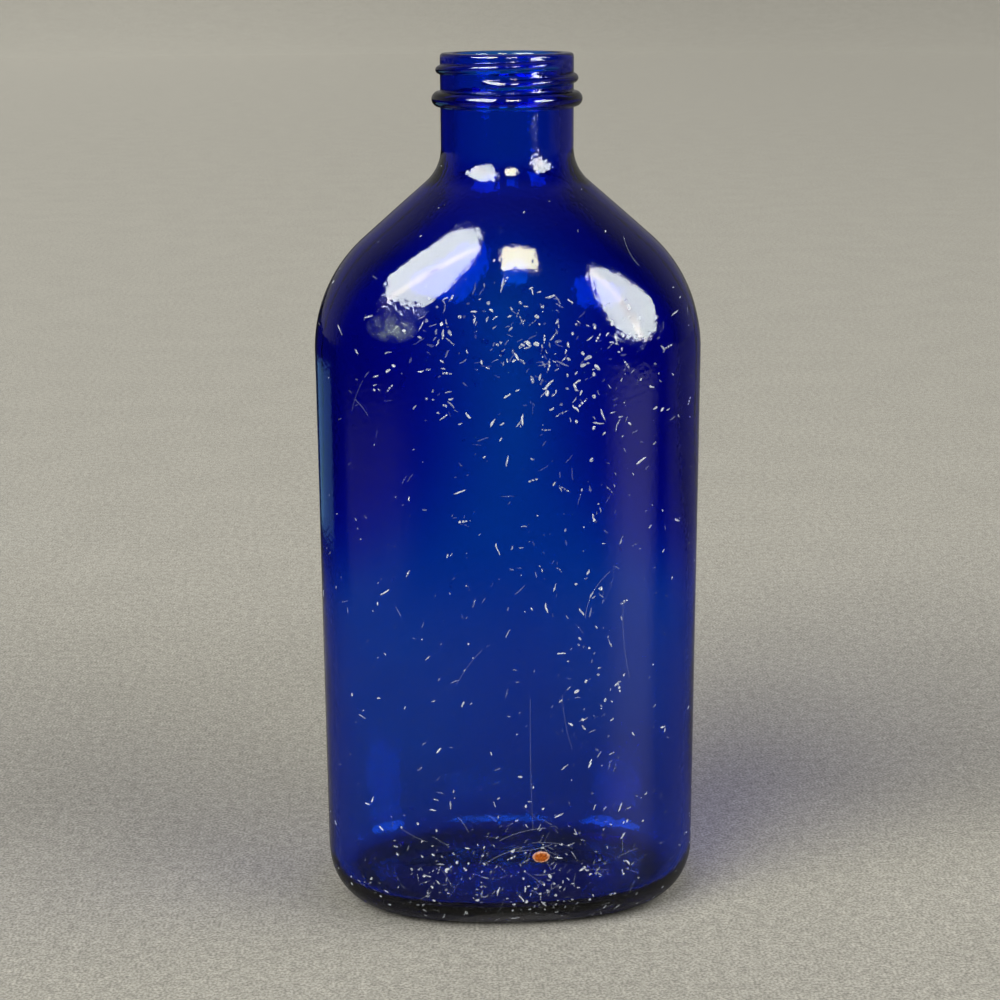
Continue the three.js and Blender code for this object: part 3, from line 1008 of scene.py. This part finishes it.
def reach_from(place, middle, half_across, half_up):
    """Zero in the middle of an oval on the front, and one on its edge."""
    centred = place.node("ShaderNodeMapping", inputs={
        "Vector": place, "Location": (-middle[0], 0.0, -middle[1]),
    })
    return centred.vector("MULTIPLY", (1 / half_across, 0.0, 1 / half_up)).vector("LENGTH")


print("a closed flake has", AROUND, "points in each ring")

# %% The dull skin
from mathutils.bvhtree import BVHTree

HAZE_MIDDLE = (-30.8 * MM, 168.0 * MM)
HAZE_HALF = (7.0 * MM, 4.0 * MM)
HAZE_LIFT = 0.04 * MM
HAZE_COLOUR = (0.46, 0.54, 0.42, 1.0)
HAZE_ROUGHNESS = 0.6
HAZE_STRONGEST = 0.3
HAZE_FADE = (1.0, 0.25)
CLOUD_SCALE, CLOUD_SHADES = 330.0, (0.35, 0.62, 0.12, 1.0)
WIPE_SCALE, WIPE_SHADES = 1400.0, (0.3, 0.7, 0.6, 1.0)
WIPE_STRETCH = (1.0, 1.0, 0.3)
HAZE_ROWS = 10

glass_faces = BVHTree.FromPolygons(
    [vertex.co for vertex in bottle.data.vertices], [face.vertices for face in bottle.data.polygons],
)


def haze_vertex(reach, turn, lift):
    across = HAZE_MIDDLE[0] + HAZE_HALF[0] * reach * math.cos(turn)
    up = HAZE_MIDDLE[1] + HAZE_HALF[1] * reach * math.sin(turn)
    place, out, _, _ = glass_faces.ray_cast(Vector((across, IN_FRONT, up)), Vector(BACKWARD))
    return place + out * (lift * HAZE_LIFT)


def haze_material():
    material, at = new_material("dull_haze")
    place = object_place(at)
    reach = reach_from(place, HAZE_MIDDLE, *HAZE_HALF)
    clouds = place.noise(CLOUD_SCALE, 2.0).step(*CLOUD_SHADES)
    wipes = place.vector("MULTIPLY", WIPE_STRETCH).noise(WIPE_SCALE, 1.0).step(*WIPE_SHADES)
    return plain_surface(material, {
        "Base Color": HAZE_COLOUR,
        "Roughness": HAZE_ROUGHNESS,
        "Alpha": reach.step(*HAZE_FADE) * clouds * wipes * HAZE_STRONGEST,
    })


rising = [(share, -math.sqrt(1 - share ** 2)) for share in spread(HAZE_ROWS)[1:]]
falling = [(reach, -lift) for reach, lift in rising[-2::-1]]
haze_mesh = closed_flake("haze_left", haze_vertex, -1.0, rising + falling, 1.0)
haze = add_dressed("haze_left", haze_mesh, haze_material())
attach(haze, "root")
print("dull patch is", round(2 * HAZE_HALF[0] / MM, 1), "by", round(2 * HAZE_HALF[1] / MM, 1), "mm")

# %% [markdown]
# ## The flake of rust
# A scale of iron rust has stuck to the front, low down. It is lumpy and ragged, orange in the
# middle and paler where it thins out to its rim, so it is built as rings that follow the glass
# and are lifted by noise.

# %% Rust flake
from mathutils import noise

rust_low, rust_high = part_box("rust_fleck")
RUST_MIDDLE = (rust_low + rust_high) / 2
RUST_SIZE = rust_high - rust_low
RUST_SINK = 0.05 * MM
RUST_FILL = 0.9
RAGGEDNESS, LUMPINESS = 0.16, 0.45
LUMP_SCALE, GRAIN_SCALE = 1600.0, 1500.0
GRAIN_DEPTH = 0.12 * MM
RUST_ROUGHNESS = 0.85
RUST_UNDER = [(0.5, 0.0), (0.96, 0.0)]
RUST_ROUNDING, RUST_EDGE = 0.6, 0.25
RUST_SHADES = [
    (0.3, (0.10, 0.018, 0.002)), (0.45, (0.33, 0.065, 0.004)),
    (0.6, (0.50, 0.12, 0.008)), (0.75, (0.62, 0.22, 0.04)),
]
RUST_RIM, RIM_WAVER = (0.62, 0.95), 0.5
RUST_RIM_COLOUR = (0.66, 0.36, 0.24, 1.0)
RUST_ROWS = 12


def front_of_glass(across, height):
    """How far forward the glass reaches at a point of its front."""
    ring = lower_ring(OUTSIDE, height, 1.0)
    return -ring.half_depth * (1 - abs(across / ring.half_width) ** ring.exponent) ** (1 / ring.exponent)


def rust_vertex(reach, turn, lift):
    waver = 1 + RAGGEDNESS * noise.noise(Vector((2 * math.cos(turn), 2 * math.sin(turn), 4.0)))
    across = RUST_MIDDLE.x + RUST_SIZE.x / 2 * reach * waver * math.cos(turn)
    height = RUST_MIDDLE.z + RUST_SIZE.z / 2 * reach * waver * math.sin(turn)
    grain = noise.noise(Vector((across, 0.0, height)) * LUMP_SCALE)
    out = lift * (RUST_SIZE.y * RUST_FILL) * (1 + LUMPINESS * grain) - RUST_SINK
    return (across, front_of_glass(across, height) - out, height)


def rust_flake():
    reaches = list(RUST_UNDER)
    for turn in spread(RUST_ROWS, 0.0, QUARTER)[:-1]:
        reaches.append((math.cos(turn) ** RUST_ROUNDING, RUST_EDGE + (1 - RUST_EDGE) * math.sin(turn)))
    return closed_flake("rust_flake", rust_vertex, 0.0, reaches, 1.0)


def rust_material():
    material, at = new_material("rust")
    place = object_place(at)
    reach = reach_from(place, (RUST_MIDDLE.x, RUST_MIDDLE.z), RUST_SIZE.x / 2, RUST_SIZE.z / 2)
    grain = place.noise(GRAIN_SCALE, 4.0)
    shade = at.node("ShaderNodeValToRGB", {"stops": RUST_SHADES}, {"Fac": grain})
    rim = (reach + RIM_WAVER * (grain - 0.5)).step(*RUST_RIM)
    return plain_surface(material, {
        "Base Color": rim.mix_colours(shade, RUST_RIM_COLOUR),
        "Roughness": RUST_ROUGHNESS,
        "Normal": grain.bump(GRAIN_DEPTH),
    })


rust = add_dressed("rust_flake", rust_flake(), rust_material())
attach(rust, "root")
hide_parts("rust_fleck")
print("rust flake is", [round(side / MM, 2) for side in RUST_SIZE], "mm")

# %% [markdown]
# ## The paper
# The bottle stands on a sweep of grey paper. A flat sheet would end at a visible horizon in low
# views, so a round sheet curves up far behind everything. Its fibres are a fine noise, in a warm
# grey. The rest of its shading is painted: painted shade in a broad band behind the bottle, painted
# shade on the rising part that evens out its brighter light, painted light that makes it darker far
# away and towards the right, and painted shade at the two sides where it is seen through the glass.

# %% Paper sweep
PAPER_FLAT = 7.0
PAPER_BEND = 3.0
PAPER_TOP = 8.0
FLAT_ROWS, BEND_ROWS = 8, 16
PAPER_ROUNDS = 96
PAPER_COLOUR = (0.39, 0.375, 0.326)
PAPER_ROUGHNESS = 0.9
PAPER_SHINE = 0.1
NOISE_RANGE = (0.2, 0.8)
FIBRE_SCALE, FELT_SCALE, CLOUDING_SCALE = 1300.0, 330.0, 25.0
FIBRE_SHADES, FELT_SHADES, CLOUDING_SHADES = (0.6, 1.4), (0.86, 1.14), (0.97, 1.03)
# Painted shade: a broad darker band on the paper behind the bottle.
SHADE_BAND_PLACE = (-0.01, 0.075, 0.07, 0.36)
SHADE_BAND_ENDS = (1.2, 0.5)
SHADE_BAND_DARKENING = 0.21
# Painted shade for the rising part of the paper.
RISE_EVENING, RISE_LIMIT = 0.55, 0.57
# Painted light: darker far away, and darker towards the right, away from the key light.
FAR_SHADES = (0.3, 3.0, 1.0, 0.95)
LEFT_TO_RIGHT = (-1.5, 1.5, 1.06, 0.91)
# Painted shade at the two sides, seen only through the glass.
BESIDE_EDGE = (0.1, 0.7)
BESIDE_SLANT = 0.3
BESIDE_DARKENING = 0.35


def paper_material():
    material, at = new_material("grey_paper")
    place = object_place(at)
    across, away = place.axis("X"), place.axis("Y")
    aside = across.math("ABSOLUTE")
    fibres = place.noise(FIBRE_SCALE, 2.0).step(*NOISE_RANGE, *FIBRE_SHADES)
    felt = place.noise(FELT_SCALE, 2.0).step(*NOISE_RANGE, *FELT_SHADES)
    clouding = place.noise(CLOUDING_SCALE, 3.0).step(*NOISE_RANGE, *CLOUDING_SHADES)
    # Painted shade: a broad band behind the bottle is darker.
    painted_band_shade = away.between(*SHADE_BAND_PLACE) * aside.step(*SHADE_BAND_ENDS)
    # Painted shade on the rising part, which evens out the brighter light that falls on it.
    steepness = (place.axis("Z").math("MAXIMUM", 0.0) ** 0.5).math("MINIMUM", RISE_LIMIT)
    rising = 1.0 / (1.0 + RISE_EVENING * steepness)
    # Painted light: the paper is darker far away and towards the right, away from the key light.
    painted_gradient = away.step(*FAR_SHADES) * across.step(*LEFT_TO_RIGHT)
    # Painted shade: the sides of the paper are darker only where they are seen through the glass.
    through_glass = at.node("ShaderNodeLightPath", output="Is Transmission Ray")
    painted_side_shade = (aside - BESIDE_SLANT * away).step(*BESIDE_EDGE)
    shade = fibres * felt * clouding * (1.0 - SHADE_BAND_DARKENING * painted_band_shade) * rising * painted_gradient
    shade = shade * (1.0 - BESIDE_DARKENING * through_glass * painted_side_shade)
    return plain_surface(material, {
        "Base Color": at.node("ShaderNodeVectorMath", {"operation": "SCALE"}, {
            "Vector": PAPER_COLOUR, "Scale": shade,
        }),
        "Roughness": PAPER_ROUGHNESS,
        "Specular IOR Level": PAPER_SHINE,
    })


def paper_profile():
    """Radius and height of the sheet from under the bottle, out and up."""
    flat = [(radius, 0.0) for radius in spread(FLAT_ROWS, 0.0, PAPER_FLAT)]
    bend = arc(PAPER_FLAT, PAPER_BEND, PAPER_BEND, BEND_ROWS, -QUARTER, 0.0)[1:]
    return flat + bend + [(PAPER_FLAT + PAPER_BEND, PAPER_TOP)]


def paper_sheet(name, profile):
    vertices = []
    for radius, height in profile:
        for turn in spread(PAPER_ROUNDS, 0.0, 2 * math.pi)[:-1]:
            vertices.append((radius * math.cos(turn), radius * math.sin(turn), height))
    mesh = new_mesh(name, vertices, [], ring_faces(len(profile), PAPER_ROUNDS))
    mesh.shade_smooth()
    sheet = add_dressed(name, mesh, paper)
    sheet.visible_shadow = False
    return sheet


paper = paper_material()
whole = paper_profile()
paper_sheet("paper_floor", whole[:FLAT_ROWS + 1])
paper_wall = paper_sheet("paper_wall", whole[FLAT_ROWS:])
paper_wall.visible_glossy = False
print("paper is flat for", PAPER_FLAT, "m round the bottle")

# %% [markdown]
# ## Dark and pale cards
# Clear glass shows whatever stands in front of it. Photographers lay black card out of the
# picture, so that the front of a bottle mirrors darkness and keeps its own colour, and a pale
# card where they want an upright band of light. Here all are one sheet on the paper that only
# mirror-like rays meet, a painted reflection: half clear near the bottle, partly clear on the left
# and at the right back, black elsewhere, and glowing, pale in one strip on the right and cool in one
# strip at the left back.

# %% Cards
CARD_FADE = (0.22, 0.42)
NEAR_SHARE = 0.45
BACK_TURN = (68, 84)
BACK_SHARE = 0.34
LEFT_STRIP = (-88, -76, -46, -22)
LEFT_REACH = (0.62, 0.85)
LEFT_SHARE = 0.35
# The pale strip and the cool strip glow: painted reflections.
PALE_STRIP = (27, 45, 53, 68)
PALE_REACH = (0.05, 0.13, 0.8, 0.94)
PALE_LIGHT = 0.58
COOL_STRIP = (-156, -148, -110, -106)
COOL_REACH = (0.4, 0.44, 0.84, 0.92)
COOL_LIGHT = (0.15, 0.34, 0.5, 1.0)
PALE_COLOUR = (1.0, 0.97, 0.94, 1.0)
CARD_BLACK = (0.01, 0.01, 0.01, 1.0)
CARD_HOLE = 0.03
CARD_HEIGHT = 0.5 * MM
CARD_ROUNDS = 64


def emission(at, colour, strength):
    return at.node("ShaderNodeEmission", inputs={"Color": colour, "Strength": strength})


def card_material():
    material, at = new_material("dark_and_pale_card")
    place = object_place(at)
    away = place.vector("LENGTH")
    degrees = place.axis("X").math("ARCTAN2", -1.0 * place.axis("Y")) * (180 / math.pi)
    near = away.step(*CARD_FADE[::-1]) * NEAR_SHARE
    back = degrees.step(*BACK_TURN) * BACK_SHARE
    left = degrees.between(*LEFT_STRIP) * away.step(*LEFT_REACH[::-1]) * LEFT_SHARE
    right = degrees.between(*PALE_STRIP) * away.between(*PALE_REACH)
    left_back = degrees.between(*COOL_STRIP) * away.between(*COOL_REACH)
    # The black parts are a painted dark reflection; the pale and cool strips glow as painted reflections
    # of light.
    black = at.node("ShaderNodeBsdfDiffuse", inputs={"Color": CARD_BLACK})
    clear = at.node("ShaderNodeBsdfTransparent")
    dark = near.math("MAXIMUM", back).math("MAXIMUM", left).mix_shaders(black, clear)
    with_pale = right.mix_shaders(dark, emission(at, PALE_COLOUR, PALE_LIGHT))
    with_cool = left_back.mix_shaders(with_pale, emission(at, COOL_LIGHT, 1.0))
    return end_material(material, Surface=with_cool)


def show_only_in_glass(thing, through):
    """Hide a stage piece from everything but mirror-like rays, and rays through glass if asked."""
    for ray in ("camera", "diffuse", "volume_scatter", "shadow"):
        setattr(thing, "visible_" + ray, False)
    thing.visible_transmission = through


def lay_cards():
    vertices = []
    for radius in (CARD_HOLE, PAPER_FLAT):
        for turn in spread(CARD_ROUNDS, 0.0, 2 * math.pi)[:-1]:
            vertices.append((radius * math.sin(turn), -radius * math.cos(turn), CARD_HEIGHT))
    mesh = new_mesh("cards", vertices, [], ring_faces(2, CARD_ROUNDS))
    show_only_in_glass(add_dressed("cards", mesh, card_material()), through=False)


lay_cards()
print("the pale strip is between", PALE_STRIP[0], "and", PALE_STRIP[3], "degrees to the right")

# %% [markdown]
# ## Light
# Two photographer's umbrellas light the bottle from the left and the right. Soft suns give the
# plain light level, at which a colour renders about as it is written. They'd mirror as dots, so
# the glass sees glowing cloth panels instead, painted highlights seen only in the glass: their
# outlines are given in slopes from the middle of the panel, and each has a painted bright streak of
# the lamp's tube, faint ribs, and the lamp's dark head near the middle. A small warm glowing panel
# above the camera, the painted highlight of a window, shows between them.

# %% Lamps
AIM = Vector((0.0, -0.025, 0.17))
PANEL_DISTANCE = 1.2
# Colours of the glowing panels, which are painted highlights.
CLOTH_COLOUR = (0.9, 0.96, 0.86, 1.0)
STREAK_COLOUR = (1.3, 1.25, 1.02, 1.0)
STREAK_EDGE = (0.06, 0.02)
RIBS, RIB_EDGE, RIB_DARKENING = 4.0, (0.05, 0.0), 0.1
CLOTH_LEVEL, BRIGHTER_HALF, HALVES_EDGE = 0.92, 0.1, (-0.05, 0.05)
WEAVE_SCALE, WEAVE_SHADES = 40.0, (0.25, 0.75, 0.84, 1.08)
HEAD_EDGE, HEAD_SHADE = (0.02, 0.05), 0.45
WINDOW_COLOUR, WINDOW_LIGHT = (1.0, 0.96, 0.6, 1.0), 23.0
HEM_STEPS, HEM_SWAY, HEM_SEED = 10, 0.05, 5


def toward(azimuth, elevation):
    """Unit vector from the bottle, by degrees round from its front and degrees up."""
    turn, rise = math.radians(azimuth), math.radians(elevation)
    return Vector((math.sin(turn) * math.cos(rise), -math.cos(turn) * math.cos(rise), math.sin(rise)))


def soft_sun(name, azimuth, elevation, level, width):
    """A sun that lights surfaces to a share of their own colour, and that no mirror shows."""
    lamp = bpy.data.lights.new(name, "SUN")
    lamp.energy = math.pi * level
    lamp.angle = math.radians(width)
    sun = add_object(name, lamp)
    sun.rotation_euler = toward(azimuth, elevation).to_track_quat("Z", "Y").to_euler()
    sun.visible_glossy = False
    sun.visible_transmission = False


def umbrella_material(name, radiance, streak_turn, head):
    """Glowing cloth, a painted highlight: a warm bright streak across it, faint ribs, and the lamp's dark
    head.
    """
    material, at = new_material(name)
    material.cycles.emission_sampling = "NONE"
    place = object_place(at)
    x = place.axis("X") - head[0]
    y = place.axis("Y") - head[1]
    turn = math.radians(streak_turn)
    from_streak = y * math.cos(turn) - x * math.sin(turn)
    streak = from_streak.math("ABSOLUTE").step(*STREAK_EDGE)
    ribs = (x.math("ARCTAN2", y) * RIBS).math("COSINE").math("ABSOLUTE").step(*RIB_EDGE)
    weave = place.noise(WEAVE_SCALE, 1.0).step(*WEAVE_SHADES)
    halves = CLOTH_LEVEL - RIB_DARKENING * ribs + BRIGHTER_HALF * from_streak.step(*HALVES_EDGE)
    lamp_head = ((x * x + y * y) ** 0.5).step(*HEAD_EDGE, HEAD_SHADE, 1.0)
    tone = streak.mix_colours(CLOTH_COLOUR, STREAK_COLOUR)
    colour = tone.vector("SCALE", halves * weave * lamp_head)
    return end_material(material, Surface=emission(at, colour, radiance))


# A glowing panel: the painted highlight of a window.
def window_material():
    material, at = new_material("warm_window")
    material.cycles.emission_sampling = "NONE"
    return end_material(material, Surface=emission(at, WINDOW_COLOUR, WINDOW_LIGHT))


def frayed(rim):
    """A closed curve through the points of a rim, which sways in and out like hemmed cloth."""
    hem = random.Random(HEM_SEED)
    points = []
    for i in range(len(rim)):
        before, here, after, beyond = (Vector(rim[(i + k) % len(rim)]) for k in (-1, 0, 1, 2))
        for share in spread(HEM_STEPS)[:-1]:
            bend = (after - before) * share + (2 * before - 5 * here + 4 * after - beyond) * share ** 2
            bend += (3 * here - before - 3 * after + beyond) * share ** 3
            points.append((here + bend / 2) * (1 + hem.uniform(-HEM_SWAY, HEM_SWAY)))
    return [tuple(point) for point in points]


def glow(name, azimuth, elevation, rim, material):
    """A glowing panel, a painted highlight seen only in the glass; its rim is in slopes across and up
    from its middle.
    """
    mesh = new_mesh(name, [(across, up, 0.0) for across, up in rim], [], [tuple(range(len(rim)))])
    panel = add_dressed(name, mesh, material)
    direction = toward(azimuth, elevation)
    panel.matrix_world = (
        Matrix.Translation(AIM + direction * PANEL_DISTANCE)
        @ direction.to_track_quat("Z", "Y").to_matrix().to_4x4()
        @ Matrix.Diagonal((PANEL_DISTANCE, PANEL_DISTANCE, PANEL_DISTANCE, 1.0))
    )
    show_only_in_glass(panel, through=True)


LEFT_RIM = [
    (-0.48, 0.06), (-0.32, 0.25), (-0.15, 0.38), (0.13, 0.37), (0.28, 0.27), (0.36, 0.15),
    (0.385, -0.03), (0.35, -0.27), (0.23, -0.44), (-0.07, -0.31), (-0.25, -0.235), (-0.41, -0.05),
]
RIGHT_RIM = [
    (-0.28, -0.02), (-0.23, 0.15), (-0.13, 0.255), (0.0, 0.285), (0.17, 0.24), (0.3, 0.165), (0.38, 0.09),
    (0.33, 0.015), (0.165, -0.135), (0.03, -0.21), (-0.1, -0.222), (-0.255, -0.215), (-0.31, -0.135),
]
WINDOW_RIM = [(-0.165, 0.15), (0.17, 0.15), (0.14, -0.15), (-0.15, -0.15)]

soft_sun("key_sun", azimuth=-42, elevation=42, level=0.8, width=42)
soft_sun("fill_sun", azimuth=72, elevation=36, level=0.7, width=56)
# Glowing panels seen only in the glass: painted highlights of the two umbrellas and of a window.
left_cloth = umbrella_material("left_cloth", radiance=18.5, streak_turn=31, head=(0.03, -0.045))
right_cloth = umbrella_material("right_cloth", radiance=18.0, streak_turn=105, head=(-0.065, -0.06))
glow("left_umbrella", -43.8, 29.7, frayed(LEFT_RIM), left_cloth)
glow("right_umbrella", 55.3, 12.4, frayed(RIGHT_RIM), right_cloth)
glow("small_window", 6.2, 25.8, WINDOW_RIM, window_material())
print("lit panels hang", PANEL_DISTANCE, "m from the bottle")

# %% Room
ROOM_LIGHT = 0.24
ROOM_MIRRORED = 0.012
BACK_MIRRORED, BACK_EDGE = 0.2, (-0.15, 0.6)
TOP_MIRRORED, TOP_EDGE = 0.06, (0.6, 0.95)
ROOM_COLOUR = (1.0, 0.98, 0.95, 1.0)
LIGHT_BOUNCES = 24

world = bpy.data.worlds.new("studio")
world.use_nodes = True
world.node_tree.nodes.clear()
sky = Wire(world.node_tree)
diffuse_ray = sky.node("ShaderNodeLightPath", output="Is Diffuse Ray")
direction = sky.node("ShaderNodeTexCoord", output="Generated")
toward_back = direction.axis("Y").step(*BACK_EDGE)
overhead = direction.axis("Z").step(*TOP_EDGE)
mirrored = ROOM_MIRRORED + toward_back * BACK_MIRRORED + overhead * TOP_MIRRORED
ceiling = sky.node("ShaderNodeBackground", inputs={
    "Color": ROOM_COLOUR,
    "Strength": diffuse_ray * ROOM_LIGHT + (1.0 - diffuse_ray) * mirrored,
})
sky.node("ShaderNodeOutputWorld", inputs={"Surface": ceiling})
scene.world = world

scene.cycles.caustics_reflective = False
scene.cycles.caustics_refractive = False
scene.cycles.max_bounces = LIGHT_BOUNCES
scene.cycles.transmission_bounces = LIGHT_BOUNCES
scene.cycles.transparent_max_bounces = LIGHT_BOUNCES
